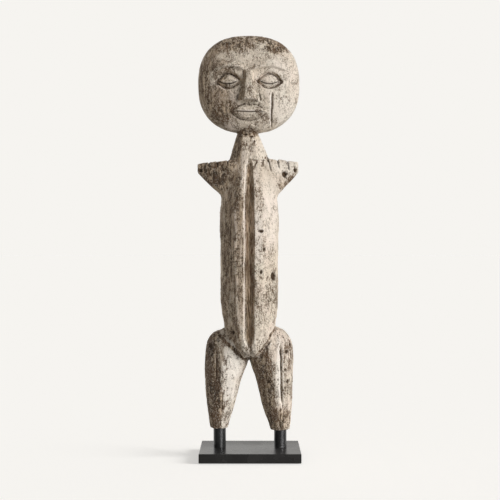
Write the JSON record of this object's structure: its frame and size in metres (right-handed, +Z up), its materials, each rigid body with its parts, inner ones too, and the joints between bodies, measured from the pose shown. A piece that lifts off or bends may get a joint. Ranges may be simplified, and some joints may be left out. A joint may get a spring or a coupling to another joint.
{
  "type": "carved ancestor figure",
  "caption": "Standing carved wooden ancestor figure with a disc head, wedge arms and a long front groove, held on round steel posts above a flat black steel base.",
  "frame": {"origin": "middle of the base's footprint, on the surface the felt pads stand on", "axes": "+Z up; the figure faces -Y; +X points to the right as seen facing the figure, and left and right in node names are meant that way"},
  "size_m": [0.179, 0.1185, 0.738],
  "materials": {
    "weathered_wood": "dry, whitewashed and rubbed back",
    "base_steel": "satin black",
    "post_steel": "satin black",
    "screw_steel": "zinc plated",
    "felt": "matt felt"
  },
  "bodies": {
    "root": {"carved_figure": "weathered_wood", "base_plate": "base_steel", "post_left": "post_steel", "post_right": "post_steel", "post_screws": "screw_steel", "pad_front_left": "felt", "pad_front_right": "felt", "pad_back_left": "felt", "pad_back_right": "felt"}
  },
  "joints": []
}
